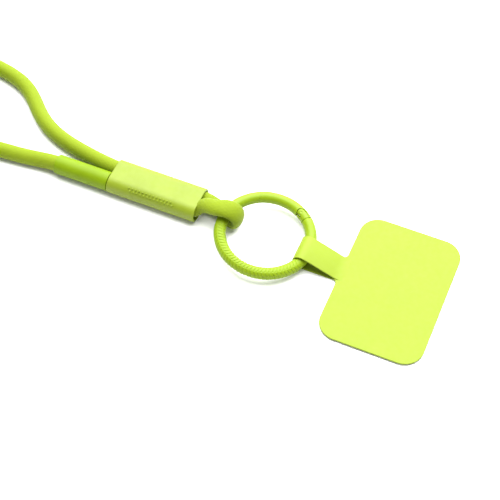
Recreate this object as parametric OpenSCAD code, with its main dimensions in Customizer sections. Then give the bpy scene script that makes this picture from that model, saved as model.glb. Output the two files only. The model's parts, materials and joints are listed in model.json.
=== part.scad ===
// Phone lanyard laid flat: a round neck cord with a moulded sleeve, a spring-gate ring in the cord's loop,
// and a thin tab folded over the ring. Millimetres.
// The origin lies under the ring's centre on the surface that the lanyard rests on.
// +X runs from the ring to the tab, +Z is up.

/* [Cord] */
// Diameter of the round cord
cord_diameter = 6.2; // [5.8:0.1:6.4]
// Diameter of the cord where a sleeve or ferrule squeezes it
squeezed_diameter = 6.0; // [5.6:0.1:6.0]

/* [Sleeve] */
// Length of the sleeve that holds the two cord runs side by side
sleeve_length = 36.5; // [32:0.5:40]
// Wall of the sleeve at its mouths
sleeve_wall = 0.9; // [0.8:0.1:1.2]
// Height that the raised marks stand above the sleeve
mark_height = 0.25; // [0.2:0.05:0.4]

/* [Ferrule] */
// Length of the ferrule that covers the cord's joint
ferrule_length = 22.7; // [18:0.5:26]
// Outside diameter of the ferrule
ferrule_diameter = 7.6; // [7.4:0.1:8.2]

/* [Ring] */
// Distance from the ring's centre to the middle of its wire
ring_radius = 17; // [16.8:0.1:17.4]
// Diameter of the ring's wire
wire_diameter = 4.4; // [4.2:0.1:4.5]
// Height that the ridges stand above the wire
ridge_height = 0.2; // [0.1:0.05:0.25]
// Ridges along the patterned part of the ring
ridge_count = 24; // [16:1:28]
// Lean of the ring, whose far side lies on the cord
ring_tilt = 4; // [3.6:0.1:4.4]

/* [Gate] */
// Diameter of the gate's hinge pin
pin_diameter = 1.0; // [0.8:0.1:1.1]
// Gap between the gate and the ring
gate_gap = 0.15; // [0.1:0.05:0.2]

/* [Tab] */
// Length of the tab away from the ring
tab_depth = 39; // [36:1:44]
// Width of the tab
tab_width = 56.2; // [50:0.2:64]
// Radius of the tab's corners
tab_corner = 7.5; // [4:0.5:10]
// Thickness of the tab's sheet
sheet_thickness = 0.5; // [0.4:0.1:0.6]
// Width of the tongue that folds over the ring
tongue_width = 10.4; // [9:0.2:11]

/* [Hidden] */

$fn = 96;
eps = 0.01;

cord_radius = cord_diameter / 2;
run_radius = squeezed_diameter / 2;
core_radius = 0.6 * run_radius;
wire_radius = wire_diameter / 2;
pin_radius = pin_diameter / 2;

// tongue and fold: the fold's axis lies midway through the curve of the wire that the tongue covers
tongue_middle = -0.9;
fold_clearance = 0.15;
tongue_reach = tongue_width / 2 + abs(tongue_middle);
wire_drop = ring_radius - sqrt(pow(ring_radius, 2) - pow(tongue_reach, 2));
fold_distance = ring_radius - wire_drop / 2;
fold_inner = wire_radius + wire_drop / 2 + fold_clearance;
fold_outer = fold_inner + sheet_thickness;
fold_x = fold_distance * cos(ring_tilt);
fold_z = fold_outer;
ring_z = fold_z + fold_distance * sin(ring_tilt);

// tab
film_thickness = 0.1;
tab_start = 30.8;
tab_middle_y = -2.0;
plate_z = sheet_thickness + film_thickness;
tail_length = 12;
tail_corner = 2;
tail_room = 0.8;
film_margin = 1.5;
root_fillet = 1.8;
fold_lead = 0.2;
pad_inset = 2.5;

// sleeve: a flat oval tube round two runs of cord that lie side by side
run_gap = 0.9;
sleeve_end_x = -27.8;
sleeve_start_x = sleeve_end_x - sleeve_length;
sleeve_y = 3.2;
run_offset = run_radius + run_gap / 2;
near_y = sleeve_y - run_offset;
far_y = sleeve_y + run_offset;
bore_clearance = 0.05;
bore_radius = run_radius + bore_clearance;
sleeve_radius = bore_radius + sleeve_wall;
run_z = sleeve_radius;
band_thickness = 0.4;
band_length = 14;
band_x = sleeve_start_x + (sleeve_length - band_length) / 2;
mark_count = 10;
mark_pitch = 2.15;
mark_side = 1.6;
mark_root = 0.3;
mark_angle = 38;

// ferrule and the joint inside it
ferrule_radius = ferrule_diameter / 2;
ferrule_start_x = sleeve_start_x - ferrule_length;
splice_x = sleeve_start_x - ferrule_length / 2;
crimp_length = 12;
crimp_wall = 0.3;

// hinge of the bight, just outside the sleeve's mouth
bend_gap = 0.4;
bend_x = sleeve_end_x + run_radius + bend_gap;

// spare cord, coiled in two layers
coil_x = -172;
coil_y = -4;
tie_thickness = 0.5;
turn_pitch = cord_diameter - 0.05;
coil_middle = 35;
coil_low_z = cord_radius + tie_thickness;
coil_high_z = coil_low_z + 0.875 * cord_diameter;
tie_angle = 200;
tie_width = 9;
tie_gap = 0.1;

// ring: angles run anticlockwise from +X, seen from above
ridge_start = 192;
ridge_end = 335;
ridge_share = 0.55;
hinge_angle = 58;
hinge_radius = ring_radius - 0.8;
knuckle_radius = 1.5;
shoulder_angle = 46.5;
band_edge = hinge_radius + knuckle_radius;
nose_reach = 16.6;
lip_reach = 15.1;
slot_low = -0.75;
slot_high = 1.35;
tongue_low = -0.65;
tongue_high = 0.5;
pin_half = 2.0;
pin_clearance = 0.04;
spring_wire = 0.22;
spring_radius = 0.78;
spring_pitch = 0.26;
spring_turns = 2;
spring_gap = 0.05;

cord_colour = [0.55, 0.68, 0.12];
sleeve_colour = [0.76, 0.90, 0.18];
ring_colour = [0.62, 0.80, 0.16];
steel_colour = [0.62, 0.63, 0.65];
tab_colour = [0.82, 0.95, 0.30];
film_colour = [0.92, 0.92, 0.88];
tie_colour = [0.12, 0.12, 0.13];

// route points: middle of the cord, [x, y, z]
floor_z = cord_radius;
upper_route = [
    [sleeve_start_x, far_y, run_z], [sleeve_start_x - 1, far_y, run_z], [-69.5, 7.3, 3.6],
    [-75, 8.3, floor_z + 0.1], [-81, 9.4, floor_z], [-87, 10.7, floor_z], [-93, 12.5, floor_z],
    [-99, 15.1, floor_z], [-104.2, 18.5, floor_z], [-108.4, 22.2, floor_z], [-112.4, 26.1, floor_z],
    [-117, 29.8, floor_z], [-122.6, 32.7, floor_z], [-130, 34.8, floor_z], [-140, 36.3, floor_z + 0.2],
    [-150, 37.1, floor_z + tie_thickness], [-160, 37.4, coil_low_z]
];
lower_route = [
    [-137.9, -20.6, coil_high_z], [-134.2, -14.8, coil_high_z + 0.1], [-130.4, -10.7, coil_high_z + 0.6],
    [-126.7, -7.7, coil_high_z - 0.3], [-122.6, -5.5, 6.4], [-117.3, -3.4, 4.0],
    [-111.1, -2.3, floor_z + 0.2], [-103, -1.6, floor_z], [-96.8, -0.8, floor_z], [-91.4, -0.2, 3.45],
    [ferrule_start_x, near_y, run_z], [splice_x, near_y, run_z]
];

// the bight, over the wire, down inside the ring and back beneath: [x, y, z, half width, half thickness]
bight_route = [
    [bend_x, near_y, run_z, run_radius, run_radius], [bend_x + 0.9, 0.4, 7.0, 3.1, 2.7],
    [-21.0, 0.6, 9.8, 3.5, 2.3], [-17.4, 0.8, 10.6, 3.9, 2.1], [-13.7, 1.0, 9.4, 4.0, 2.0],
    [-11.95, 1.4, 5.9, 4.0, 2.05], [-13.2, 2.3, 2.45, 3.8, 1.9], [-17.0, 4.0, 1.5, 3.5, 1.4],
    [-21.2, 5.6, 2.2, 3.2, 2.0], [bend_x, far_y, run_z, run_radius, run_radius]
];

// Catmull-Rom spline through points, with every coordinate smoothed alike
function spline_at(p, i, t) =
    let (
        a = p[max(i - 1, 0)],
        b = p[i],
        c = p[min(i + 1, len(p) - 1)],
        d = p[min(i + 2, len(p) - 1)]
    )
    0.5 * (2 * b + t * (c - a) + t * t * (2 * a - 5 * b + 4 * c - d) + t * t * t * (3 * b - a - 3 * c + d));

function smooth(p, steps) = concat(
    [for (i = [0:len(p) - 2], k = [0:steps - 1]) spline_at(p, i, k / steps)],
    [p[len(p) - 1]]
);

function unit(v) = v / norm(v);

function place(p) = [p[0], p[1], p[2]];

function heading(p, i) = unit(place(p[min(i + 1, len(p) - 1)]) - place(p[max(i - 1, 0)]));

// one ring of a swept tube: its width lies across the cord, level or near it
function section(p, i, side, sides, wide, thick) =
    let (
        along = heading(p, i),
        across = unit(side - (side * along) * along),
        upward = cross(along, across)
    )
    [for (k = [0:sides - 1])
        place(p[i]) + wide * cos(360 * k / sides) * across + thick * sin(360 * k / sides) * upward];

// A tube as one polyhedron of triangles from its sections
module tube_through(sections, sides) {
    count = len(sections);
    points = [for (s = sections, q = s) q];
    walls = [for (i = [0:count - 2], k = [0:sides - 1])
        let (a = i * sides + k, b = i * sides + (k + 1) % sides)
        each [[a, a + sides, b], [b, a + sides, b + sides]]];
    start_cap = [[for (k = [0:sides - 1]) k]];
    end_cap = [[for (k = [sides - 1:-1:0]) (count - 1) * sides + k]];
    polyhedron(points = points, faces = concat(start_cap, walls, end_cap));
}

// A free length of cord, level across its width. Its first and last stretches are straight.
module cord_through(route, sides, steps) {
    last = len(route) - 1;
    p = concat([route[0]], smooth([for (i = [1:last - 1]) route[i]], steps), [route[last]]);
    sections = [for (i = [0:len(p) - 1])
        section(p, i, cross([0, 0, 1], heading(p, i)), sides, cord_radius, cord_radius)];
    tube_through(sections, sides);
}

// Flat oval across the cord runs, as a 2D shape in Y and Z
module flat_oval(radius) {
    for (side = [-1, 1]) {
        translate([side * run_offset, 0]) circle(r = radius);
    }
    square([2 * run_offset, 2 * radius], center = true);
}

// Stands a 2D shape drawn in Y and Z up at x and extrudes it along +X
module along_x(x, length) {
    translate([x, 0, 0]) rotate([90, 0, 90]) linear_extrude(height = length) children();
}

// Flat oval round both cord runs, extruded from x
module run_oval(x, length, radius) {
    translate([0, sleeve_y, run_z]) along_x(x, length) flat_oval(radius);
}

module sleeve() {
    color(sleeve_colour) {
        difference() {
            run_oval(sleeve_start_x, sleeve_length, sleeve_radius);
            run_oval(sleeve_start_x - 1, sleeve_length + 2, bore_radius);
            run_oval(band_x, band_length, bore_radius + band_thickness);
        }
        sleeve_marks();
    }
}

// A row of raised marks along the shoulder: squares with a short bar between them
module sleeve_marks() {
    start = sleeve_start_x + (sleeve_length - (mark_count - 1) * mark_pitch) / 2;
    for (i = [0:mark_count - 1]) {
        side = i % 2 == 0 ? mark_side : mark_side / 2;
        translate([start + i * mark_pitch, near_y, run_z]) rotate([mark_angle, 0, 0])
            translate([-side / 2, -mark_side / 2, sleeve_radius - mark_root])
                cube([side, mark_side, mark_root + mark_height]);
    }
}

module crimp_band() {
    color(steel_colour)
        difference() {
            run_oval(band_x, band_length, bore_radius + band_thickness);
            run_oval(band_x - 1, band_length + 2, bore_radius);
        }
}

// A straight run of braided sheath from x, with its bore for the core
module sheath_run(x, y) {
    color(cord_colour)
        translate([0, y, run_z]) along_x(x, sleeve_end_x - x)
            difference() {
                circle(r = run_radius);
                circle(r = core_radius);
            }
}

module core_run(x, y) {
    color(cord_colour) translate([0, y, run_z]) along_x(x, sleeve_end_x - x) circle(r = core_radius);
}

module cord_sheath_near() {
    sheath_run(splice_x, near_y);
}

module cord_core_near() {
    core_run(splice_x, near_y);
}

module cord_sheath_far() {
    sheath_run(sleeve_start_x, far_y);
}

module cord_core_far() {
    core_run(sleeve_start_x, far_y);
}

// Ferrule in two bores: a wide middle that holds the crimp, and a close fit on the cord at each end
module ferrule() {
    color(sleeve_colour)
        translate([0, near_y, run_z])
            difference() {
                along_x(ferrule_start_x, ferrule_length) circle(r = ferrule_radius);
                along_x(ferrule_start_x - 1, ferrule_length + 2) circle(r = bore_radius);
                along_x(splice_x - crimp_length / 2, crimp_length) circle(r = bore_radius + crimp_wall);
            }
}

module splice_crimp() {
    color(steel_colour)
        translate([0, near_y, run_z])
            along_x(splice_x - crimp_length / 2, crimp_length)
                difference() {
                    circle(r = bore_radius + crimp_wall);
                    circle(r = bore_radius);
                }
}

module cord_upper() {
    color(cord_colour) cord_through(upper_route, 12, 3);
}

module cord_lower() {
    color(cord_colour) cord_through(lower_route, 12, 3);
}

// Turns of the coil side by side, one pitch apart
module coil_turns(turns, z) {
    color(cord_colour)
        translate([coil_x, coil_y, z])
            rotate_extrude()
                for (i = [0:turns - 1]) {
                    translate([coil_middle + (i - (turns - 1) / 2) * turn_pitch, 0]) circle(r = cord_radius);
                }
}

module coil_lower() {
    coil_turns(3, coil_low_z);
}

module coil_upper() {
    coil_turns(2, coil_high_z);
}

// Band round the whole bundle, on the side away from the sleeve
module coil_tie() {
    inner_low = sqrt(pow(coil_middle - 1.5 * turn_pitch, 2) - pow(tie_width / 2, 2)) - tie_gap;
    inner_span = coil_middle + 1.5 * turn_pitch + tie_gap - inner_low;
    inner_height = coil_high_z + cord_radius - tie_thickness + tie_gap;
    color(tie_colour)
        translate([coil_x, coil_y, 0]) rotate([0, 0, tie_angle])
            translate([inner_low - tie_thickness, tie_width / 2, 0]) rotate([90, 0, 0])
                linear_extrude(height = tie_width)
                    difference() {
                        square([inner_span + 2 * tie_thickness, inner_height + 2 * tie_thickness]);
                        translate([tie_thickness, tie_thickness]) square([inner_span, inner_height]);
                    }
}

// Sections of a round end, from near its tip up to its full radius at a point of a route
function dome(p, i, side, sides, turn) =
    let (steps = 4, away = turn * heading(p, i))
    [for (k = [1:steps - 1])
        let (a = 90 * k / steps, q = place(p[i]) + p[i][3] * cos(a) * away)
        [for (v = section(p, i, side, sides, p[i][3] * sin(a), p[i][4] * sin(a))) v - place(p[i]) + q]];

// The doubled cord that holds the ring, with round ends on the axis it bends about
module cord_bight() {
    sides = 12;
    side = [0, -1, 0];
    p = smooth(bight_route, 2);
    last = len(p) - 1;
    end = dome(p, last, side, sides, 1);
    color(cord_colour)
        tube_through(
            concat(
                dome(p, 0, side, sides, -1),
                [for (i = [0:last]) section(p, i, side, sides, p[i][3], p[i][4])],
                [for (i = [len(end) - 1:-1:0]) end[i]]
            ),
            sides
        );
}

// Puts the ring's own flat frame where the ring lies
module in_ring() {
    translate([0, 0, ring_z]) rotate([0, ring_tilt, 0]) children();
}

// Wire of the ring between two angles
module wire_arc(from, to, radius) {
    rotate([0, 0, from]) rotate_extrude(angle = to - from) translate([ring_radius, 0]) circle(r = radius);
}

// Wedge of the ring's plane between two angles and two radii, as a 2D shape
module wedge(from, to, inner, outer) {
    steps = 12;
    angles = [for (i = [0:steps]) from + (to - from) * i / steps];
    polygon(concat(
        [for (a = angles) inner * [cos(a), sin(a)]],
        [for (i = [steps:-1:0]) outer * [cos(angles[i]), sin(angles[i])]]
    ));
}

module at_hinge() {
    rotate([0, 0, hinge_angle]) translate([hinge_radius, 0, 0]) children();
}

// Everything of the ring's plane that the hinge side of the ring keeps, grown by a gap
module knuckle_shape(grow) {
    at_hinge() circle(r = knuckle_radius + grow);
    wedge(shoulder_angle - 8, hinge_angle, ring_radius - 4, band_edge + grow);
}

// Everything that the closed gate fills up to its nose, grown by a gap. Its steps are round about the pin.
module gate_shape(grow) {
    intersection() {
        at_hinge() circle(r = nose_reach + grow);
        circle(r = ring_radius + grow / 2);
    }
    at_hinge() circle(r = lip_reach + grow);
}

module slab(low, high) {
    translate([0, 0, low]) linear_extrude(height = high - low) children();
}

module ring_body() {
    full = 2 * wire_radius;
    outside = ring_radius + full;
    color(ring_colour) in_ring() {
        difference() {
            wire_arc(hinge_angle + 40, 360 + hinge_angle + 10, wire_radius);
            slab(-full, full) intersection() {
                gate_shape(gate_gap);
                wedge(hinge_angle + 30, hinge_angle + 80, ring_radius - full, outside);
            }
            slab(-full, full) difference() {
                wedge(shoulder_angle, hinge_angle + 20, ring_radius - full, outside);
                knuckle_shape(0);
            }
            slab(slot_low, slot_high) at_hinge() circle(r = knuckle_radius + gate_gap / 2);
            slab(-full, full) at_hinge() circle(r = pin_radius);
        }
        ridges();
    }
}

module ridges() {
    pitch = (ridge_end - ridge_start) / ridge_count;
    for (i = [0:ridge_count - 1]) {
        start = ridge_start + (i + (1 - ridge_share) / 2) * pitch;
        wire_arc(start, start + ridge_share * pitch, wire_radius + ridge_height);
    }
}

module ring_gate() {
    full = 2 * wire_radius;
    color(ring_colour) in_ring()
        difference() {
            union() {
                difference() {
                    intersection() {
                        wire_arc(shoulder_angle + 0.5, hinge_angle + 66, wire_radius);
                        slab(-full, full) gate_shape(0);
                    }
                    slab(-full, full) knuckle_shape(gate_gap);
                }
                slab(tongue_low, tongue_high) {
                    at_hinge() circle(r = knuckle_radius - gate_gap);
                    wedge(hinge_angle, hinge_angle + 9, hinge_radius - 0.9, hinge_radius + 0.9);
                }
            }
            slab(-full, full) at_hinge() circle(r = pin_radius + pin_clearance);
        }
}

module gate_pin() {
    color(ring_colour) in_ring() at_hinge()
        translate([0, 0, -pin_half]) cylinder(h = 2 * pin_half, r = pin_radius);
}

// Torsion spring round the pin, between the gate's tongue and the upper cheek
module gate_spring() {
    sides = 6;
    per_turn = 12;
    wire_half = spring_wire / 2;
    low = tongue_high + spring_gap + wire_half;
    p = [for (i = [0:spring_turns * per_turn])
        let (a = 360 * i / per_turn)
        [spring_radius * cos(a), spring_radius * sin(a), low + spring_pitch * i / per_turn]];
    sections = [for (i = [0:len(p) - 1]) section(p, i, [0, 0, 1], sides, wire_half, wire_half)];
    color(steel_colour) in_ring() at_hinge() tube_through(sections, sides);
}

// Side view of one face of the folded sheet: round the wire at a radius, up to the plate above at a height
// and to the tail beneath at another
module fold_face(radius, upper, lower) {
    rise_x = tab_start - root_fillet - fold_lead;
    plate_middle = plate_z + sheet_thickness / 2;
    mean = fold_outer - sheet_thickness / 2;
    reach = norm([rise_x - fold_x, fold_z - plate_middle]);
    slope = asin(mean / reach) + atan((fold_z - plate_middle) / (rise_x - fold_x));
    across = [sin(slope), cos(slope)];
    end_x = tab_start + 1;
    translate([fold_x, fold_z]) circle(r = radius);
    polygon([
        [fold_x, lower], [fold_x, fold_z], [fold_x, fold_z] + radius * across,
        [rise_x, plate_middle] + (upper - plate_middle) * across, [rise_x + fold_lead, upper],
        [end_x, upper], [end_x, lower]
    ]);
}

// Side view of the fold, one sheet thick all the way round
module fold_profile() {
    difference() {
        fold_face(fold_outer, plate_z + sheet_thickness, 0);
        fold_face(fold_inner, plate_z, sheet_thickness);
    }
}

// Outline of the tab with a fillet on each side of its tongue
module tab_outline() {
    translate([tab_start + tab_corner, tab_middle_y - tab_width / 2 + tab_corner])
        rounded_plate(tab_depth - 2 * tab_corner, tab_width - 2 * tab_corner, tab_corner);
    for (side = [-1, 1]) {
        translate([tab_start, tongue_middle + side * tongue_width / 2])
            difference() {
                translate([-root_fillet, side > 0 ? -eps : -root_fillet])
                    square([root_fillet + eps, root_fillet + eps]);
                translate([-root_fillet, side * root_fillet]) circle(r = root_fillet);
            }
    }
}

// Rectangle grown by a round corner on every side
module rounded_plate(depth, width, corner) {
    for (x = [0, depth], y = [0, width]) {
        translate([x, y]) circle(r = corner);
    }
    translate([-corner, 0]) square([depth + 2 * corner, width]);
    translate([0, -corner]) square([depth, width + 2 * corner]);
}

// Rounded end of the tail beneath the plate, kept in by a margin, as a 2D shape
module tail_outline(margin) {
    translate([tab_start + tail_corner + margin, tongue_middle - tongue_width / 2 + tail_corner])
        rounded_plate(tail_length - 2 * tail_corner - margin, tongue_width - 2 * tail_corner, tail_corner);
}

module tab_sheet() {
    color(tab_colour) {
        translate([0, 0, plate_z]) linear_extrude(height = sheet_thickness) tab_outline();
        translate([0, tongue_middle + tongue_width / 2, 0]) rotate([90, 0, 0])
            linear_extrude(height = tongue_width) fold_profile();
        linear_extrude(height = sheet_thickness) {
            tail_outline(0);
            translate([tab_start - tail_corner, tongue_middle - tongue_width / 2])
                square([2 * tail_corner, tongue_width]);
        }
    }
}

module tail_film() {
    color(film_colour)
        translate([0, 0, sheet_thickness]) linear_extrude(height = film_thickness) tail_outline(film_margin);
}

// Adhesive pad beneath the plate, open round the tail
module tab_pad() {
    inner_depth = tab_depth - 2 * tab_corner;
    inner_width = tab_width - 2 * tab_corner;
    color(film_colour)
        linear_extrude(height = plate_z)
            difference() {
                translate([tab_start + tab_corner, tab_middle_y - inner_width / 2])
                    rounded_plate(inner_depth, inner_width, tab_corner - pad_inset);
                translate([tab_start - 1, tongue_middle - tongue_width / 2 - tail_room])
                    square([tail_length + 1 + tail_room, tongue_width + 2 * tail_room]);
            }
}

sleeve();
crimp_band();
cord_sheath_near();
cord_core_near();
cord_sheath_far();
cord_core_far();
ferrule();
splice_crimp();
cord_upper();
cord_lower();
coil_lower();
coil_upper();
coil_tie();
cord_bight();
ring_body();
gate_pin();
ring_gate();
gate_spring();
tab_sheet();
tail_film();
tab_pad();
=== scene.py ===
"""Looks of a phone lanyard laid flat: braided cord, moulded sleeve, gate ring and folded tab."""

import json
import math

import bmesh
import bpy
import numpy as np
from mathutils import Matrix, Vector


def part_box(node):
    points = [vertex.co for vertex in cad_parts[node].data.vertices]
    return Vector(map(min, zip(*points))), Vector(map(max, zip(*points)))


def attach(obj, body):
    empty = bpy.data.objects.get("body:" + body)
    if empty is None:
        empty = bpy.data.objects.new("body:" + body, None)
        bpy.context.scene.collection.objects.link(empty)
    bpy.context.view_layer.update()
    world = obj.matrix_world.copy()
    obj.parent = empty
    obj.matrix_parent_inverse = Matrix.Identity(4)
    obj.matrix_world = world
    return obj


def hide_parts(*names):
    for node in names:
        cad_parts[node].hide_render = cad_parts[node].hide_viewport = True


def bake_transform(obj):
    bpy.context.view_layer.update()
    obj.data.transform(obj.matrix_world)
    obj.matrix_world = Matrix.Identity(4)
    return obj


MM = 0.001

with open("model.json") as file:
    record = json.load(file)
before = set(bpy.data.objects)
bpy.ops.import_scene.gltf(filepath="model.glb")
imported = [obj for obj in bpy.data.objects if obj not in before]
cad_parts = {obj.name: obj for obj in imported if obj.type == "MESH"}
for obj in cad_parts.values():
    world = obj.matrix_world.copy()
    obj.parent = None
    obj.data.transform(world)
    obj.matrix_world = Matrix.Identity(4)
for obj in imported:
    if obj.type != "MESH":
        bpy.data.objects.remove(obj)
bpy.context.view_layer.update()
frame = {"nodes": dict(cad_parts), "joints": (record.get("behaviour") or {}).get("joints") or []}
JOINTS = {j["name"]: j for j in frame["joints"]}

# ---------------------------------------------------------------- camera

CAMERA_TARGET = Vector((-3.52, -6.37, 1.0)) * MM
CAMERA_AZIMUTH = math.radians(23.17)
CAMERA_ELEVATION = math.radians(55.43)
CAMERA_DISTANCE = 445.46 * MM
CAMERA_LENS = 86.4
SENSOR_WIDTH = 36


def add_camera():
    """Camera at the photo's angle, level from side to side."""
    az, el = CAMERA_AZIMUTH, CAMERA_ELEVATION
    back = Vector((math.sin(az) * math.cos(el), -math.cos(az) * math.cos(el), math.sin(el)))
    right = Vector((math.cos(az), math.sin(az), 0))
    up = back.cross(right)
    data = bpy.data.cameras.new("camera")
    data.lens = CAMERA_LENS
    data.sensor_width = SENSOR_WIDTH
    data.clip_start = 0.01
    data.clip_end = 20
    camera = bpy.data.objects.new("camera", data)
    bpy.context.scene.collection.objects.link(camera)
    turn = Matrix((right, up, back)).transposed().to_4x4()
    camera.matrix_world = Matrix.Translation(CAMERA_TARGET + back * CAMERA_DISTANCE) @ turn
    bpy.context.scene.camera = camera


add_camera()

# ---------------------------------------------------------------- shared sizes, from the CAD part

CORD_RADIUS = 3.1 * MM
RUN_RADIUS = 3.0 * MM
SLEEVE_LOW, SLEEVE_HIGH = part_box("sleeve")
FERRULE_LOW, FERRULE_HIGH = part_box("ferrule")
BEND = Vector(JOINTS["bight_bend"]["pos_m"])
NEAR_Y = (FERRULE_LOW.y + FERRULE_HIGH.y) / 2
FAR_Y = 2 * BEND.y - NEAR_Y
RUN_Z = BEND.z
MOUTH_X = SLEEVE_HIGH.x
SLEEVE_START = SLEEVE_LOW.x
RING_CENTRE = Vector(JOINTS["ring_turn"]["pos_m"])
RING_NORMAL = Vector(JOINTS["ring_turn"]["axis"]).normalized()
RING_TILT = math.atan2(RING_NORMAL.x, RING_NORMAL.z)
RING_RADIUS = 17 * MM
WIRE_RADIUS = 2.2 * MM
FOLD = Vector(JOINTS["tab_swing"]["pos_m"])


# ---------------------------------------------------------------- mesh helpers


def new_object(name, vertices, faces, material, smooth=True):
    """A mesh object in the scene from plain arrays."""
    mesh = bpy.data.meshes.new(name)
    mesh.from_pydata([tuple(map(float, v)) for v in vertices], [], [tuple(map(int, f)) for f in faces])
    mesh.validate()
    if smooth:
        mesh.polygons.foreach_set("use_smooth", [True] * len(mesh.polygons))
    mesh.update()
    obj = bpy.data.objects.new(name, mesh)
    bpy.context.scene.collection.objects.link(obj)
    mesh.materials.append(material)
    return obj


def spline(points, steps):
    """Catmull-Rom spline through rows of numbers."""
    p = np.asarray(points, float)
    out = []
    for i in range(len(p) - 1):
        a, b, c, d = p[max(i - 1, 0)], p[i], p[i + 1], p[min(i + 2, len(p) - 1)]
        for k in range(steps):
            t = k / steps
            square = 2 * a - 5 * b + 4 * c - d
            cube = 3 * b - a - 3 * c + d
            out.append(0.5 * (2 * b + t * (c - a) + t * t * square + t**3 * cube))
    out.append(p[-1])
    return np.array(out)


def arc_lengths(points):
    """Distance along a line to each of its points."""
    steps = np.linalg.norm(np.diff(points[:, :3], axis=0), axis=1)
    return np.concatenate([[0], np.cumsum(steps)])


def respaced(points, step):
    """The same line with its points a near-equal step apart."""
    s = arc_lengths(points)
    count = max(2, int(round(s[-1] / step)) + 1)
    at = np.linspace(0, s[-1], count)
    return np.column_stack([np.interp(at, s, points[:, k]) for k in range(points.shape[1])])


def softened(points, passes):
    """A line with its small kinks taken out. Both ends stay."""
    p = points.copy()
    for _ in range(passes):
        p[1:-1] = 0.25 * p[:-2] + 0.5 * p[1:-1] + 0.25 * p[2:]
    return p


def frames_along(points, first_side):
    """Tangent, side and up at each point, with the side carried along the line without twist."""
    tangents = unit(np.gradient(points[:, :3], axis=0))
    sides = np.zeros_like(tangents)
    side = np.asarray(first_side, float)
    for i, t in enumerate(tangents):
        side = side - (side @ t) * t
        side /= np.linalg.norm(side)
        sides[i] = side
    return tangents, sides, np.cross(tangents, sides)


def grid_faces(rows, columns):
    """Quads over rows of closed loops."""
    faces = []
    for i in range(rows - 1):
        for k in range(columns):
            n = (k + 1) % columns
            faces.append((i * columns + k, i * columns + n, (i + 1) * columns + n, (i + 1) * columns + k))
    return faces


def capped_faces(rows, columns):
    """Quads over rows of closed loops, with the first and last loop filled in."""
    first = tuple(range(columns - 1, -1, -1))
    last = tuple(range((rows - 1) * columns, rows * columns))
    return [*grid_faces(rows, columns), first, last]


def ring_faces(rows, columns):
    """Quads over rows of closed loops, with the last loop joined to the first."""
    last = (rows - 1) * columns
    seam = [(last + k, last + (k + 1) % columns, (k + 1) % columns, k) for k in range(columns)]
    return grid_faces(rows, columns) + seam


def unit(vectors):
    """Each row at length 1."""
    return vectors / np.linalg.norm(vectors, axis=1)[:, None]


def ease(t):
    """Smooth step from 0 to 1."""
    t = np.clip(t, 0, 1)
    return t * t * (3 - 2 * t)


def joined(objects):
    """Several meshes made into the first of them."""
    bpy.ops.object.select_all(action="DESELECT")
    for o in objects:
        o.select_set(True)
    bpy.context.view_layer.objects.active = objects[0]
    bpy.ops.object.join()
    objects[0].select_set(False)
    return objects[0]


def recalculated(obj):
    """Face normals pointing outwards."""
    bpy.ops.object.select_all(action="DESELECT")
    bpy.context.view_layer.objects.active = obj
    obj.select_set(True)
    bpy.ops.object.mode_set(mode="EDIT")
    bpy.ops.mesh.select_all(action="SELECT")
    bpy.ops.mesh.normals_make_consistent(inside=False)
    bpy.ops.object.mode_set(mode="OBJECT")
    obj.select_set(False)
    return obj


BRAID_CARRIERS = 16
BRAID_PITCH = 1.9 * MM
BRAID_HEIGHT = 0.1 * MM


def braid_height(angle, distance):
    """Height of a braid's surface at an angle round the cord and a distance along it.
    It is 0 in its grooves and 1 on its strands."""
    u = BRAID_CARRIERS * angle / (2 * np.pi) + distance / BRAID_PITCH
    v = BRAID_CARRIERS * angle / (2 * np.pi) - distance / BRAID_PITCH
    over = (np.floor(u) + np.floor(v)) % 2 < 0.5
    across = np.where(over, u, v) % 1 - 0.5
    along = np.where(over, v, u) % 1 - 0.5
    return np.sqrt(np.clip(np.cos(np.pi * across), 0, 1)) * (0.55 + 0.45 * np.cos(np.pi * along))


def braided_tube(name, points, wide, thick, material, side=(0, 1, 0), carried=True, sides=96):
    """A braided cord along a line. wide and thick are its half width and half thickness at each point.
    Its side is either carried along the line, or kept as near as it can be to the one given."""
    count = len(points)
    if carried:
        _, across, upward = frames_along(points, side)
    else:
        tangents = unit(np.gradient(points[:, :3], axis=0))
        across = unit(np.asarray(side, float) - (tangents @ np.asarray(side, float))[:, None] * tangents)
        upward = np.cross(tangents, across)
    angle = 2 * np.pi * np.arange(sides) / sides
    distance = arc_lengths(points)
    height = (braid_height(angle[None, :], distance[:, None]) - 1) * BRAID_HEIGHT
    w = (np.asarray(wide)[:, None] + height) * np.cos(angle)[None, :]
    t = (np.asarray(thick)[:, None] + height) * np.sin(angle)[None, :]
    body = points[:, None, :3] + w[..., None] * across[:, None, :] + t[..., None] * upward[:, None, :]
    obj = new_object(name, body.reshape(-1, 3), capped_faces(count, sides), material)
    uv = obj.data.uv_layers.new(name="UVMap")
    loops = np.zeros(len(obj.data.loops), int)
    obj.data.loops.foreach_get("vertex_index", loops)
    turn = (loops % sides) / sides
    starts = np.zeros(len(obj.data.polygons), int)
    totals = np.zeros(len(obj.data.polygons), int)
    obj.data.polygons.foreach_get("loop_start", starts)
    obj.data.polygons.foreach_get("loop_total", totals)
    for s, n in zip(starts, totals):
        part = turn[s : s + n]
        if n == 4 and part.max() - part.min() > 0.5:
            part[part < 0.5] += 1
    flat = np.column_stack([turn, distance[loops // sides] / (2 * np.pi * CORD_RADIUS)])
    uv.data.foreach_set("uv", flat.astype(np.float32).ravel())
    return obj


# ---------------------------------------------------------------- materials


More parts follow.
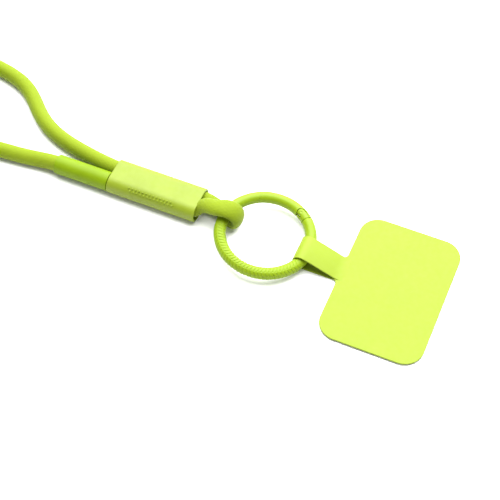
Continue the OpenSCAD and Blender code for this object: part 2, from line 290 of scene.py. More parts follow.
def shader(name, colour, roughness, **sockets):
    """A Principled material and its node tree, for more nodes to be added."""
    material = bpy.data.materials.new(name)
    material.use_nodes = True
    tree = material.node_tree
    bsdf = tree.nodes["Principled BSDF"]
    bsdf.inputs["Base Color"].default_value = (*colour, 1)
    bsdf.inputs["Roughness"].default_value = roughness
    for key, value in sockets.items():
        bsdf.inputs[key.replace("_", " ")].default_value = value
    return material, tree, bsdf


def mixed_colour(tree, bsdf, low, high, scale, stretch=(1, 1, 1)):
    """Base colour that drifts between two colours with a noise. Other noises share the mapping it returns."""
    coords = tree.nodes.new("ShaderNodeTexCoord")
    mapping = tree.nodes.new("ShaderNodeMapping")
    mapping.inputs["Scale"].default_value = stretch
    noise = tree.nodes.new("ShaderNodeTexNoise")
    noise.inputs["Scale"].default_value = scale
    noise.inputs["Detail"].default_value = 4
    ramp = tree.nodes.new("ShaderNodeValToRGB")
    ramp.color_ramp.elements[0].position = 0.32
    ramp.color_ramp.elements[1].position = 0.68
    ramp.color_ramp.elements[0].color = (*low, 1)
    ramp.color_ramp.elements[1].color = (*high, 1)
    tree.links.new(coords.outputs["Object"], mapping.inputs["Vector"])
    tree.links.new(mapping.outputs["Vector"], noise.inputs["Vector"])
    tree.links.new(noise.outputs["Fac"], ramp.inputs["Fac"])
    tree.links.new(ramp.outputs["Color"], bsdf.inputs["Base Color"])
    return mapping


def noisy_bump(tree, bsdf, mapping, scale, strength, distance):
    """Fine grain on the surface."""
    noise = tree.nodes.new("ShaderNodeTexNoise")
    noise.inputs["Scale"].default_value = scale
    noise.inputs["Detail"].default_value = 3
    bump = tree.nodes.new("ShaderNodeBump")
    bump.inputs["Strength"].default_value = strength
    bump.inputs["Distance"].default_value = distance
    tree.links.new(mapping.outputs["Vector"], noise.inputs["Vector"])
    tree.links.new(noise.outputs["Fac"], bump.inputs["Height"])
    tree.links.new(bump.outputs["Normal"], bsdf.inputs["Normal"])


def rough_range(tree, bsdf, mapping, scale, low, high):
    """Roughness that drifts between two values."""
    noise = tree.nodes.new("ShaderNodeTexNoise")
    noise.inputs["Scale"].default_value = scale
    spread = tree.nodes.new("ShaderNodeMapRange")
    spread.inputs["From Min"].default_value = 0.3
    spread.inputs["From Max"].default_value = 0.7
    spread.inputs["To Min"].default_value = low
    spread.inputs["To Max"].default_value = high
    tree.links.new(mapping.outputs["Vector"], noise.inputs["Vector"])
    tree.links.new(noise.outputs["Fac"], spread.inputs["Value"])
    tree.links.new(spread.outputs["Result"], bsdf.inputs["Roughness"])


CORD_COLOUR = (0.196, 0.272, 0.002)
SLEEVE_COLOUR = (0.178, 0.24, 0.006)
FERRULE_COLOUR = (0.15, 0.235, 0.002)
RING_COLOUR = (0.187, 0.28, 0.003)
SHEET_COLOUR = (0.215, 0.29, 0.015)


def cord_material():
    """Braided yarn: fine filaments lie along each carrier, with painted shade in the grooves between them."""
    material, tree, bsdf = shader("cord_braid", CORD_COLOUR, 0.72)
    bsdf.inputs["Sheen Weight"].default_value = 0.06
    bsdf.inputs["Sheen Roughness"].default_value = 0.45
    bsdf.inputs["Specular IOR Level"].default_value = 0.2
    coords = tree.nodes.new("ShaderNodeTexCoord")
    mapping = tree.nodes.new("ShaderNodeMapping")
    tree.links.new(coords.outputs["UV"], mapping.inputs["Vector"])
    waves = []
    for turn in (1, -1):
        skew = tree.nodes.new("ShaderNodeMapping")
        skew.inputs["Rotation"].default_value = (0, 0, turn * math.radians(52))
        wave = tree.nodes.new("ShaderNodeTexWave")
        wave.inputs["Scale"].default_value = 26
        wave.inputs["Distortion"].default_value = 1.2
        wave.inputs["Detail"].default_value = 2
        tree.links.new(mapping.outputs["Vector"], skew.inputs["Vector"])
        tree.links.new(skew.outputs["Vector"], wave.inputs["Vector"])
        waves.append(wave)
    both = tree.nodes.new("ShaderNodeMath")
    both.operation = "MULTIPLY"
    tree.links.new(waves[0].outputs["Fac"], both.inputs[0])
    tree.links.new(waves[1].outputs["Fac"], both.inputs[1])
    # Base colour follows the weave's height: lighter on the filaments, darker in the grooves between them.
    # The darker grooves are painted shade.
    ramp = tree.nodes.new("ShaderNodeValToRGB")
    ramp.color_ramp.elements[0].color = (*(0.62 * c for c in CORD_COLOUR), 1)
    ramp.color_ramp.elements[1].color = (*(1.25 * c for c in CORD_COLOUR), 1)
    ramp.color_ramp.elements[1].position = 0.5
    tree.links.new(both.outputs[0], ramp.inputs["Fac"])
    tree.links.new(ramp.outputs["Color"], bsdf.inputs["Base Color"])
    bump = tree.nodes.new("ShaderNodeBump")
    bump.inputs["Strength"].default_value = 0.35
    bump.inputs["Distance"].default_value = 0.00012
    tree.links.new(both.outputs[0], bump.inputs["Height"])
    tree.links.new(bump.outputs["Normal"], bsdf.inputs["Normal"])
    return material


def plastic(name, low, high, roughness, grain, specular=0.5):
    """Coloured plastic or coating with a soft drift of colour and gloss.
    grain is its bump's scale, strength and distance."""
    material, tree, bsdf = shader(name, high, roughness)
    mapping = mixed_colour(tree, bsdf, low, high, 90)
    rough_range(tree, bsdf, mapping, 700, roughness - 0.05, roughness + 0.07)
    noisy_bump(tree, bsdf, mapping, *grain)
    bsdf.inputs["Specular IOR Level"].default_value = specular
    return material


def metal(name, colour, roughness):
    """Bare metal with fine marks along it."""
    material, tree, bsdf = shader(name, colour, roughness, Metallic=1.0)
    mapping = mixed_colour(tree, bsdf, tuple(0.85 * c for c in colour), colour, 300, stretch=(1, 12, 12))
    rough_range(tree, bsdf, mapping, 900, roughness, roughness + 0.15)
    return material


def tinted(name, colour, roughness, grain, drift=0.05, **more):
    """A plastic whose colour drifts a little either side of one colour."""
    low = tuple((1 - drift) * c for c in colour)
    high = tuple((1 + drift) * c for c in colour)
    return plastic(name, low, high, roughness, grain, **more)


CORD = cord_material()
SLEEVE = tinted("sleeve_elastomer", SLEEVE_COLOUR, 0.48, (2600, 0.12, 0.0001), specular=0.34)
FERRULE = tinted("ferrule_elastomer", FERRULE_COLOUR, 0.42, (2600, 0.08, 0.0001), specular=0.13)
RING = tinted("ring_coating", RING_COLOUR, 0.42, (3400, 0.1, 0.00006), specular=0.22)
SHEET = tinted("tab_coating", SHEET_COLOUR, 0.5, (3000, 0.15, 0.00006), drift=0.015, specular=0.2)
STEEL = metal("pin_steel", (0.62, 0.62, 0.63), 0.28)
ALUMINIUM = metal("crimp_aluminium", (0.72, 0.72, 0.73), 0.35)
FILM = plastic("adhesive_film", (0.75, 0.74, 0.66), (0.8, 0.8, 0.74), 0.5, (900, 0.1, 0.0001))
CORE = plastic("core_yarn", (0.62, 0.61, 0.52), (0.78, 0.77, 0.7), 0.85, (1500, 0.5, 0.0003))
TIE = plastic("tie_weave", (0.012, 0.012, 0.014), (0.03, 0.03, 0.033), 0.8, (2500, 0.6, 0.0003))

# ---------------------------------------------------------------- free cord

# Each row is x, y, z in millimetres, as in the CAD part.
UPPER_ROUTE = [
    (-64.3, 6.65, 3.95), (-65.3, 6.65, 3.95), (-69.5, 7.3, 3.6), (-75, 8.3, 3.2), (-81, 9.4, 3.1),
    (-87, 10.7, 3.1), (-93, 12.5, 3.1), (-99, 15.1, 3.1), (-104.2, 18.5, 3.1), (-108.4, 22.2, 3.1),
    (-112.4, 26.1, 3.1), (-117, 29.8, 3.1), (-122.6, 32.7, 3.1), (-130, 34.8, 3.1), (-140, 36.3, 3.3),
    (-150, 37.1, 3.6), (-160, 37.4, 3.6),
]
LOWER_ROUTE = [
    (-137.9, -20.6, 9.025), (-134.2, -14.8, 9.125), (-130.4, -10.7, 9.625), (-126.7, -7.7, 8.725),
    (-122.6, -5.5, 6.4), (-117.3, -3.4, 4.0), (-111.1, -2.3, 3.3), (-103, -1.6, 3.1), (-96.8, -0.8, 3.1),
    (-91.4, -0.2, 3.45), (-87, -0.25, 3.95), (-75.65, -0.25, 3.95),
]
COIL_CENTRE = np.array([-172.0, -4.0])
COIL_RADII = [41.25, 35.0, 28.75, 31.9, 38.1]
COIL_LOW_Z = 3.6
COIL_HIGH_Z = 9.025
CROSSING_RISE = 0.85
CROSSING_SPAN = 50
CLIMB_SPAN = 60
COIL_END = 330
SOFTENING_PASSES = 12


def coil_line():
    """The spare cord: three turns inwards on the surface, then two outwards on top.
    It moves across to the next turn at the end of each one."""
    out = []
    last = 90 + 360 * 4 + (COIL_END - 90)
    for angle in np.arange(90, last + 0.1, 3.0):
        lap, turned = divmod(angle - 90, 360)
        lap = int(lap)
        left = 360 - turned
        radius = COIL_RADII[lap]
        z = COIL_LOW_Z if lap < 3 else COIL_HIGH_Z
        if lap == 2:
            share = ease((CROSSING_SPAN + CLIMB_SPAN - left) / CLIMB_SPAN)
            radius += share * (COIL_RADII[3] - radius)
            z += share * (COIL_HIGH_Z - COIL_LOW_Z)
        elif lap < 4:
            radius += ease((CROSSING_SPAN - left) / CROSSING_SPAN) * (COIL_RADII[lap + 1] - radius)
        if lap >= 2 and left < 2 * CROSSING_SPAN:
            z += CROSSING_RISE * math.sin(math.pi * left / (2 * CROSSING_SPAN)) ** 2
        a = math.radians(angle)
        out.append((COIL_CENTRE[0] + radius * math.cos(a), COIL_CENTRE[1] + radius * math.sin(a), z))
    return out


def cord_line():
    upper = spline(UPPER_ROUTE, 8)
    lower = spline(LOWER_ROUTE, 8)
    line = np.vstack([upper, np.array(coil_line()), lower[1:]]) * MM
    line = respaced(line, 1.0 * MM)
    line = softened(line, SOFTENING_PASSES)
    return respaced(line, 0.5 * MM)


CORD_LINE = cord_line()


def squeeze_to(points, squeezed, free, span):
    """Radius along a line that starts and ends squeezed and grows to its free size over a span."""
    s = arc_lengths(points)
    return squeezed + (free - squeezed) * ease(np.minimum(s, s[-1] - s) / span)


cord_radii = squeeze_to(CORD_LINE, RUN_RADIUS, CORD_RADIUS, 4 * MM)
neck_cord = braided_tube("neck_cord", CORD_LINE, cord_radii, cord_radii, CORD, side=(0, 0, 1))
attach(neck_cord, "cord")
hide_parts("cord_upper", "cord_lower", "coil_lower", "coil_upper")

# ---------------------------------------------------------------- bight

# Each row is x, y, z, half width and half thickness, in millimetres.
BIGHT_ROUTE = [
    (-31.2, -0.25, 3.95, 3.0, 3.0), (-29.3, 0.4, 4.2, 3.0, 2.75), (-27.8, 1.2, 4.9, 3.1, 2.4),
    (-26.3, 1.7, 6.5, 3.1, 2.4), (-24.4, 1.5, 8.1, 3.15, 2.4), (-22.2, 0.8, 9.3, 3.3, 2.4),
    (-19.8, 0.4, 10.3, 3.5, 2.25), (-17.2, 0.9, 10.8, 3.8, 2.1), (-14.6, 1.6, 10.0, 3.95, 2.0),
    (-12.7, 2.1, 8.1, 4.0, 2.0), (-12.0, 2.2, 5.5, 4.0, 2.0), (-13.2, 2.8, 2.6, 3.8, 1.9),
    (-17.0, 4.2, 1.5, 3.5, 1.4), (-20.8, 5.7, 2.25, 3.2, 2.1), (-24.2, 6.4, 3.0, 3.05, 2.8),
    (-27.6, 6.95, 3.6, 2.75, 2.9), (-31.2, 6.65, 3.95, 3.0, 3.0),
]


def bight():
    """The doubled cord that holds the ring, looped just outside the sleeve."""
    line = respaced(spline(BIGHT_ROUTE, 16) * MM, 0.35 * MM)
    line = softened(line, SOFTENING_PASSES)
    wide, thick = line[:, 3], line[:, 4]
    obj = braided_tube("cord_loop", line, wide, thick, CORD, side=(0, -1, 0), carried=False, sides=112)
    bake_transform(obj)
    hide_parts("cord_bight")


bight()

# ---------------------------------------------------------------- sheaths inside the sleeve

SHEATH_END = -30.6 * MM
CORE_RADIUS = 1.8 * MM


def sheath(name, node, y):
    """A hollow braided run from where the CAD run starts to just inside the sleeve's mouth."""
    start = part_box(node)[0].x
    sides, step = 64, 0.5 * MM
    xs = np.linspace(start, SHEATH_END, int((SHEATH_END - start) / step))
    angle = 2 * np.pi * np.arange(sides) / sides
    outer = RUN_RADIUS + (braid_height(angle[None, :], (xs - start)[:, None]) - 1) * BRAID_HEIGHT
    bore = np.full(sides, CORE_RADIUS)
    rings = [*zip(xs, outer), (SHEATH_END, bore), (start, bore)]
    vertices = []
    for x, radius in rings:
        for a, r in zip(angle, radius):
            vertices.append((x, y + r * math.cos(a), RUN_Z + r * math.sin(a)))
    obj = recalculated(new_object(name, vertices, ring_faces(len(rings), sides), CORD))
    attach(obj, "cord")
    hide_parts(node)


sheath("sheath_near_braid", "cord_sheath_near", NEAR_Y)
sheath("sheath_far_braid", "cord_sheath_far", FAR_Y)

# ---------------------------------------------------------------- sleeve and ferrule


def oval_loop(count, radius, offset):
    """Points evenly spread round a flat oval, as rows (y, z)."""
    half = math.pi * radius
    flat = 2 * offset
    total = 2 * (half + flat)
    out = []
    for k in range(count):
        d = total * k / count
        if d < half:
            a = -math.pi / 2 + d / radius
            out.append((offset + radius * math.cos(a), radius * math.sin(a)))
        elif d < half + flat:
            out.append((offset - (d - half), radius))
        elif d < 2 * half + flat:
            a = math.pi / 2 + (d - half - flat) / radius
            out.append((-offset + radius * math.cos(a), radius * math.sin(a)))
        else:
            out.append((-offset + (d - 2 * half - flat), -radius))
    return np.array(out)


def tube_with_lips(name, x0, x1, y, z, outer, inner, offset, lip, material):
    """An open tube with rounded lips at both ends, outside first and back through the bore."""
    count = 128
    near, far = x0 + lip, x1 - lip
    arc = [(lip * math.sin(a), lip * math.cos(a)) for a in np.linspace(0, math.pi / 2, 8)]
    small_arc = [(lip * math.sin(a), lip * math.cos(a)) for a in np.linspace(0, math.pi / 2, 6)]
    rings = [(near - c, outer - lip + s) for s, c in arc]
    rings += [(near + (far - near) * t, outer) for t in np.linspace(0, 1, 40)[1:-1]]
    rings += [(far + s, outer - lip + c) for s, c in arc]
    rings += [(far + c, inner + lip - s) for s, c in small_arc]
    rings += [(near - s, inner + lip - c) for s, c in small_arc]
    vertices = []
    for x, radius in rings:
        for py, pz in oval_loop(count, radius, offset):
            vertices.append((x, y + py, z + pz))
    return new_object(name, vertices, ring_faces(len(rings), count), material)


SLEEVE_RADIUS = (SLEEVE_HIGH.z - SLEEVE_LOW.z) / 2
SLEEVE_LIP = 0.3 * MM
RUN_OFFSET = (FAR_Y - NEAR_Y) / 2
BORE_RADIUS = 3.05 * MM


def sleeve():
    """The moulded sleeve with its pips."""
    sizes = (SLEEVE_RADIUS, BORE_RADIUS, RUN_OFFSET, SLEEVE_LIP)
    obj = tube_with_lips("sleeve_cover", SLEEVE_START, MOUTH_X, BEND.y, RUN_Z, *sizes, SLEEVE)
    obj = joined([obj, *sleeve_pips()])
    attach(obj, "cord")
    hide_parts("sleeve")
    return obj


PIP_HEIGHT = 0.34 * MM
PIP_RADIUS = 0.36 * MM
PIP_PITCH = 1.45 * MM
PIP_ROW_GAP = 1.1 * MM
PIP_COUNT = 26
PIP_SIDES = 18
PIP_ANGLE = math.radians(38)
# How far in from a pip's edge each layer lies, and how high above the sleeve
PIP_LAYERS = [(0, -0.15 * MM), (0, 0.5 * PIP_HEIGHT), (0.08 * MM, 0.85 * PIP_HEIGHT), (0.2 * MM, PIP_HEIGHT)]


def raised(name, outline, x, angle):
    """A low raised shape on the sleeve's near shoulder, from an outline drawn flat, with soft edges."""
    centre = np.mean(outline, axis=0)
    vertices = []
    for inset, height in PIP_LAYERS:
        for p in outline:
            d = centre - p
            q = p + d * min(0.45, inset / max(np.linalg.norm(d), 1e-9))
            a = angle + q[1] / SLEEVE_RADIUS
            r = SLEEVE_RADIUS + height
            vertices.append((x + q[0], NEAR_Y - r * math.sin(a), RUN_Z + r * math.cos(a)))
    return new_object(name, vertices, capped_faces(len(PIP_LAYERS), len(outline)), SLEEVE, smooth=False)


def sleeve_pips():
    """Two staggered rows of round pips along the near shoulder."""
    turn = -2 * np.pi * np.arange(PIP_SIDES) / PIP_SIDES
    disc = PIP_RADIUS * np.stack([np.cos(turn), np.sin(turn)], axis=1)
    start = (SLEEVE_START + MOUTH_X) / 2 - (PIP_COUNT - 1) / 4 * PIP_PITCH
    pips = []
    for i in range(PIP_COUNT):
        outline = disc + np.array([0, (i % 2 - 0.5) * PIP_ROW_GAP])
        pips.append(raised(f"pip_{i}", outline, start + i * PIP_PITCH / 2, PIP_ANGLE))
    return pips


sleeve()

SEAM = 0.26 * MM
FERRULE_BORE = 3.06 * MM
FERRULE_LIP = 0.28 * MM
NO_OFFSET = 1e-6


def ferrule():
    """The round ferrule, ended short of the sleeve so that the joint between them shows."""
    outer = (FERRULE_HIGH.z - FERRULE_LOW.z) / 2
    z = (FERRULE_HIGH.z + FERRULE_LOW.z) / 2
    sizes = (outer, FERRULE_BORE, NO_OFFSET, FERRULE_LIP)
    obj = tube_with_lips("ferrule_tube", FERRULE_LOW.x, FERRULE_HIGH.x - SEAM, NEAR_Y, z, *sizes, FERRULE)
    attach(obj, "cord")
    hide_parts("ferrule")
    return obj


ferrule_tube = ferrule()

# ---------------------------------------------------------------- tab

SHEET_THICKNESS = 0.5 * MM
TAB_LOW, TAB_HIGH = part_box("tab_sheet")
TAB_START = 30.8 * MM
TAB_CORNER = 7.5 * MM
TONGUE_WIDTH = 10.4 * MM
ROOT_FILLET = 1.8 * MM
PLATE_Z = 0.6 * MM
EDGE_ROUNDING = 0.18 * MM
FLAT_MARGIN = 0.5 * MM
TAIL_LENGTH = 12 * MM
FOLD_INNER = FOLD.z - SHEET_THICKNESS


def tab_outline():
    """The plate's edge seen from above, anticlockwise, with a fillet on each side of the tongue."""
    x0, x1, y0, y1 = TAB_START, TAB_HIGH.x, TAB_LOW.y, TAB_HIGH.y
    c = TAB_CORNER
    out = []

    def corner(cx, cy, start):
        for a in np.linspace(start, start + 90, 25):
            out.append((cx + c * math.cos(math.radians(a)), cy + c * math.sin(math.radians(a))))

    corner(x1 - c, y1 - c, 0)
    corner(x0 + c, y1 - c, 90)
    top, bottom = FOLD.y + TONGUE_WIDTH / 2, FOLD.y - TONGUE_WIDTH / 2
    f = ROOT_FILLET
    for a in np.linspace(0, -90, 13):
        out.append((x0 - f + f * math.cos(math.radians(a)), top + f + f * math.sin(math.radians(a))))
    for a in np.linspace(90, 0, 13):
        out.append((x0 - f + f * math.cos(math.radians(a)), bottom - f + f * math.sin(math.radians(a))))
    corner(x0 + c, y0 + c, 180)
    corner(x1 - c, y0 + c, 270)
    return np.array(out)


def inset_outline(outline, distance):
    """A closed outline moved inwards by a small distance."""
    before, after = np.roll(outline, 1, axis=0), np.roll(outline, -1, axis=0)
    along = after - before
    along /= np.maximum(np.linalg.norm(along, axis=1), 1e-12)[:, None]
    inward = np.column_stack([-along[:, 1], along[:, 0]])
    return outline + distance * inward


def plate_mesh():
    """The plate as a thin solid with softly rounded edges."""
    outline = tab_outline()
    r = EDGE_ROUNDING
    loops = []
    for a in np.linspace(0, math.pi / 2, 5):
        loops.append((r * (1 - math.sin(a)), PLATE_Z + r * (1 - math.cos(a))))
    for a in np.linspace(0, math.pi / 2, 5):
        loops.append((r * (1 - math.cos(a)), PLATE_Z + SHEET_THICKNESS - r * (1 - math.sin(a))))
    loops = [(FLAT_MARGIN, PLATE_Z), *loops, (FLAT_MARGIN, PLATE_Z + SHEET_THICKNESS)]
    vertices = []
    for inset, z in loops:
        for x, y in inset_outline(outline, inset):
            vertices.append((x, y, z))
    return new_object("tab_plate", vertices, capped_faces(len(loops), len(outline)), SHEET)


def fold_line():
    """Side view of the tongue's middle line: from the plate up over the wire, round it and back beneath."""
    mean = FOLD_INNER + SHEET_THICKNESS / 2
    plate_mid = PLATE_Z + SHEET_THICKNESS / 2
    reach = math.hypot(TAB_START - FOLD.x, FOLD.z - plate_mid)
    slope = math.asin(mean / reach) + math.atan2(FOLD.z - plate_mid, TAB_START - FOLD.x)
    touch = math.pi / 2 - slope
    out = [(TAB_START + x * MM, plate_mid + z * MM) for x, z in ((4, -0.03), (1.5, 0), (0.3, 0.1))]
    start = np.array([TAB_START, plate_mid])
    end = np.array([FOLD.x + mean * math.cos(touch), FOLD.z + mean * math.sin(touch)])
    for t in np.linspace(0.1, 0.95, 8):
        out.append(tuple(start + t * (end - start) + np.array([0, 0.12 * MM * math.sin(math.pi * t)])))
    for a in np.linspace(touch, 1.5 * math.pi, 40):
        out.append((FOLD.x + mean * math.cos(a), FOLD.z + mean * math.sin(a)))
    for x in np.linspace(FOLD.x + 1 * MM, TAB_START + TAIL_LENGTH, 16):
        out.append((x, SHEET_THICKNESS / 2))
    return np.array(out)


def tongue_mesh():
    """The tongue as a strip with rounded edges swept along the fold."""
    fold = fold_line()
    line = respaced(np.column_stack([fold[:, 0], np.zeros(len(fold)), fold[:, 1]]), 0.35 * MM)
    line = softened(line, 6)
    out = np.cross(np.array([0, 1.0, 0]), unit(np.gradient(line, axis=0)))
    half, r = SHEET_THICKNESS / 2, EDGE_ROUNDING
    section = []
    for side in (1, -1):
        for start, corner in ((0, half - r), (math.pi / 2, -half + r)):
            for a in np.linspace(start, start + math.pi / 2, 5):
                across = TONGUE_WIDTH / 2 - r + r * math.sin(a)
                section.append((side * across, side * (corner + r * math.cos(a))))
    vertices = []
    for p, n in zip(line, out):
        for y, h in section:
            q = p + n * h
            vertices.append((q[0], FOLD.y + y, q[2]))
    return new_object("tab_tongue", vertices, capped_faces(len(line), len(section)), SHEET)


def tab():
    """The plate with its tongue."""
    plate = recalculated(plate_mesh())
    tongue = recalculated(tongue_mesh())
    plate = joined([plate, tongue])
    plate.name = "tab_cover"
    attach(plate, "tab")
    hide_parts("tab_sheet")


tab()

# ---------------------------------------------------------------- ring


def in_ring(points):
    """Points in the ring's own flat frame, moved to where the ring lies."""
    p = np.asarray(points, float)
    c, s = math.cos(RING_TILT), math.sin(RING_TILT)
    return np.column_stack([
        RING_CENTRE.x + p[:, 0] * c + p[:, 2] * s,
        RING_CENTRE.y + p[:, 1],
        RING_CENTRE.z - p[:, 0] * s + p[:, 2] * c,
    ])


PATTERN_START = 190.0
PATTERN_END = 337.0
PATTERN_ROWS = 6
CUT_PITCH = 1.3 * MM
CUT_LEAN = 0.7
PATTERN_RISE = 0.1 * MM
GROOVE_DEPTH = 0.2 * MM
GROOVE_HALF = 0.2 * MM
GROOVE_EDGE = 0.08 * MM
ROW_EDGE = 0.46
ROW_FADE = 0.1
PATTERN_FADE = 0.8 * MM


def grooves(along, around):
    """Depth of the ring's engraved herringbone, 0 to 1: rows of slanted cuts round the wire.
    Each row leans the other way from the last."""
    across = around % 1 - 0.5
    lean = CUT_LEAN * (1 - 2 * (np.floor(around) % 2))
    away = np.abs((along / CUT_PITCH + lean * across) % 1 - 0.5) * CUT_PITCH
    fade = np.clip((ROW_EDGE - np.abs(across)) / ROW_FADE, 0, 1)
    return ease((GROOVE_HALF + GROOVE_EDGE - away) / (2 * GROOVE_EDGE)) * fade


def patterned_arc():
    """The engraved part of the ring's wire, open at both ends where the smooth wire goes on."""
    sides, step = 180, 0.11 * MM
    span = math.radians(PATTERN_END - PATTERN_START)
    count = int(span * RING_RADIUS / step)
    angles = math.radians(PATTERN_START) + span * np.arange(count + 1) / count
    round_wire = 2 * np.pi * np.arange(sides) / sides
    s = (angles - angles[0]) * RING_RADIUS
    depth = grooves(s[:, None], PATTERN_ROWS * round_wire[None, :] / (2 * np.pi))
    ends = np.clip(np.minimum(s, s[-1] - s) / PATTERN_FADE, 0, 1)
    radius = WIRE_RADIUS + ends[:, None] * (PATTERN_RISE - GROOVE_DEPTH * depth)
    r = RING_RADIUS + radius * np.cos(round_wire)[None, :]
    z = radius * np.sin(round_wire)[None, :]
    points = np.stack([r * np.cos(angles)[:, None], r * np.sin(angles)[:, None], z], axis=-1).reshape(-1, 3)
    return recalculated(new_object("ring_pattern", in_ring(points), grid_faces(count + 1, sides), RING))


def copied(name, node, material):
    """A new mesh of a CAD piece, where it lies."""
    source = frame["nodes"][node]
    mesh = source.data.copy()
    mesh.transform(source.matrix_world)
    mesh.materials.clear()
    mesh.materials.append(material)
    obj = bpy.data.objects.new(name, mesh)
    bpy.context.scene.collection.objects.link(obj)
    return obj


def sharpened(obj):
    """Smooth shading with sharp edges kept sharp."""
    obj.data.polygons.foreach_set("use_smooth", [True] * len(obj.data.polygons))
    obj.data.set_sharp_from_angle(angle=math.radians(32))
    return obj


HINGE_LINE = 46.5
HINGE_LINE_HALF = 0.6
HINGE_LINE_DEPTH = 0.34 * MM


def smooth_wire():
    """The ring outside its pattern: the plain wire, the nose's seat and the hinge cheeks.
    A line is cut round the wire beside the hinge."""
    obj = copied("ring_cover", "ring_body", RING)
    mesh = bmesh.new()
    mesh.from_mesh(obj.data)
    bmesh.ops.remove_doubles(mesh, verts=mesh.verts, dist=1e-7)
    tilt = Matrix.Rotation(RING_TILT, 3, "Y")
    hinge_cuts = (HINGE_LINE - HINGE_LINE_HALF, HINGE_LINE, HINGE_LINE + HINGE_LINE_HALF)
    for angle in (PATTERN_START, PATTERN_END, *hinge_cuts):
        a = math.radians(angle)
        square = tilt @ Vector((-math.sin(a), math.cos(a), 0))
        parts = mesh.verts[:] + mesh.edges[:] + mesh.faces[:]
        bmesh.ops.bisect_plane(mesh, geom=parts, dist=1e-8, plane_co=RING_CENTRE, plane_no=square)
    back = tilt.transposed()
    covered = []
    for face in mesh.faces:
        place = back @ (face.calc_center_median() - RING_CENTRE)
        if PATTERN_START < math.degrees(math.atan2(place.y, place.x)) % 360 < PATTERN_END:
            covered.append(face)
    bmesh.ops.delete(mesh, geom=covered, context="FACES")
    for vertex in mesh.verts:
        place = back @ (vertex.co - RING_CENTRE)
        arm = place - RING_RADIUS * Vector((place.x, place.y, 0)).normalized()
        off = math.degrees(math.atan2(place.y, place.x)) - HINGE_LINE
        if abs(off) < 0.1 * HINGE_LINE_HALF and arm.length > 0.9 * WIRE_RADIUS:
            vertex.co -= tilt @ (arm.normalized() * HINGE_LINE_DEPTH)
    mesh.to_mesh(obj.data)
    mesh.free()
    return sharpened(obj)


def ring():
    """The ring without its gate."""
    obj = joined([smooth_wire(), patterned_arc()])
    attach(obj, "ring")
    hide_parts("ring_body")


NOSE_REACH = 15.1 * MM
NOSE_FADE = 2 * MM
NOSE_FIT = 0.12 * MM
KNUCKLE_REACH = 1.65 * MM
KNUCKLE_EASE = 0.16 * MM


def gate():
    """The gate. Its nose is drawn up to its seat so that the joint closes to a hair.
    Its shoulder at the hinge is moved away from the ring's cheeks, so that the joint there shows."""
    obj = copied("gate_cover", "ring_gate", RING)
    pin = Vector(JOINTS["gate_open"]["pos_m"])
    for vertex in obj.data.vertices:
        arm = vertex.co - pin
        arm -= arm.dot(RING_NORMAL) * RING_NORMAL
        nose = NOSE_FIT * ease((arm.length - NOSE_REACH + NOSE_FADE) / NOSE_FADE)
        knuckle = 0
        if arm.length >= 0.9 * KNUCKLE_REACH:
            knuckle = KNUCKLE_EASE * ease(2 - arm.length / KNUCKLE_REACH)
        vertex.co += arm.normalized() * (nose + knuckle)
    sharpened(obj)
    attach(obj, "gate")
    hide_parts("ring_gate")


ring()
gate()

# ---------------------------------------------------------------- tie

TIE_ANGLE = math.radians(200)
TIE_WIDTH = 9 * MM
TIE_THICKNESS = 0.5 * MM
TIE_OVERLAP = 11 * MM
TIE_STEP = 0.5
LAP_LIFT = 1.05


def bundle_outline():
    """Points (radius, z) in millimetres along a strap drawn tight round the five turns.
    It goes from the top outwards and back over its start."""
    turns = [(r, COIL_LOW_Z) for r in COIL_RADII[:3]] + [(r, COIL_HIGH_Z) for r in COIL_RADII[3:]]
    thickness = TIE_THICKNESS / MM
    reach = CORD_RADIUS / MM + thickness / 2
    outline = []
    for a in np.radians(np.arange(90, -270, -4.0)):
        d = np.array([math.cos(a), math.sin(a)])
        turn = max(turns, key=lambda t: t[0] * d[0] + t[1] * d[1])
        outline.append(np.array(turn) + reach * d)
    outline.append(outline[0])
    line = respaced(np.array(outline), TIE_STEP)
    lap = line[: int(TIE_OVERLAP / MM / TIE_STEP)] + np.array([0.0, LAP_LIFT * thickness])
    return np.vstack([line, lap[1:]])


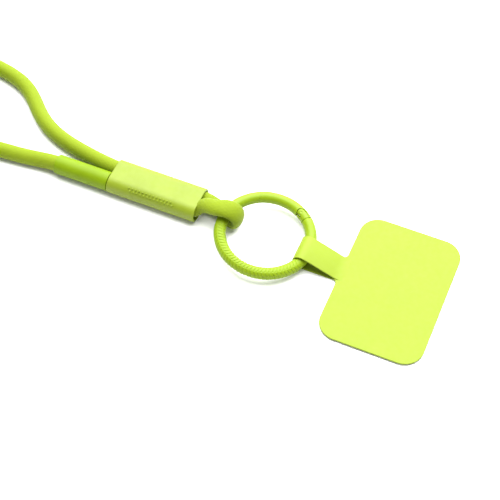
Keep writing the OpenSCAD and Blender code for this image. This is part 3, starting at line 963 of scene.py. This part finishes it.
def tie():
    """A woven strap round the coil that laps over itself on top."""
    line = softened(bundle_outline(), 3) * MM
    along = unit(np.gradient(line, axis=0))
    outward = np.column_stack([-along[:, 1], along[:, 0]])
    half = TIE_THICKNESS / 2
    across = np.linspace(-0.5, 0.5, 13) * TIE_WIDTH
    edge = np.minimum(1, (TIE_WIDTH / 2 - np.abs(across)) / (0.4 * MM) + 0.35)
    section = [(w, half * e) for w, e in zip(across, edge)]
    section += [(w, -h) for w, h in section[::-1]]
    middle = COIL_CENTRE * MM
    vertices = []
    for place, up in zip(line, outward):
        for w, h in section:
            r, z = place + h * up
            a = TIE_ANGLE + w / (COIL_RADII[1] * MM)
            vertices.append((middle[0] + r * math.cos(a), middle[1] + r * math.sin(a), z))
    obj = recalculated(new_object("coil_strap", vertices, capped_faces(len(line), len(section)), TIE))
    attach(obj, "cord")
    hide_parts("coil_tie")
    return obj


coil_strap = tie()

# ---------------------------------------------------------------- CAD pieces that show as they are

LOOKS = {
    "crimp_band": ALUMINIUM, "splice_crimp": ALUMINIUM, "cord_core_near": CORE, "cord_core_far": CORE,
    "gate_pin": RING, "gate_spring": STEEL, "tail_film": FILM, "tab_pad": FILM,
}
for name, material in LOOKS.items():
    node = frame["nodes"][name]
    node.data.materials.clear()
    node.data.materials.append(material)

# ---------------------------------------------------------------- floor and light

FLOOR_COLOUR = (0.92, 0.92, 0.92)
FLOOR_HALF = 4.0
FLOOR_Z = -0.05 * MM


def add_floor():
    material, _, bsdf = shader("floor_white", FLOOR_COLOUR, 0.6)
    bsdf.inputs["Specular IOR Level"].default_value = 0.2
    s = FLOOR_HALF
    corners = [(-s, -s, 0), (s, -s, 0), (s, s, 0), (-s, s, 0)]
    floor = new_object("floor", corners, [(0, 1, 2, 3)], material, smooth=False)
    floor.location.z = FLOOR_Z


def area_light(name, place, target, size, power):
    data = bpy.data.lights.new(name, "AREA")
    data.shape = "DISK"
    data.size = size
    data.energy = power
    light = bpy.data.objects.new(name, data)
    bpy.context.scene.collection.objects.link(light)
    light.location = place
    light.rotation_euler = (Vector(target) - Vector(place)).to_track_quat("-Z", "Y").to_euler()


add_floor()
area_light("key", (-0.1, 0.7, 1.2), (0, 0, 0), 2.4, 112)

world = bpy.data.worlds.new("studio")
world.use_nodes = True
world.node_tree.nodes["Background"].inputs["Color"].default_value = (1, 1, 1, 1)
world.node_tree.nodes["Background"].inputs["Strength"].default_value = 0.48
bpy.context.scene.world = world
bpy.context.scene.view_settings.view_transform = "Standard"
bpy.context.scene.view_settings.look = "None"
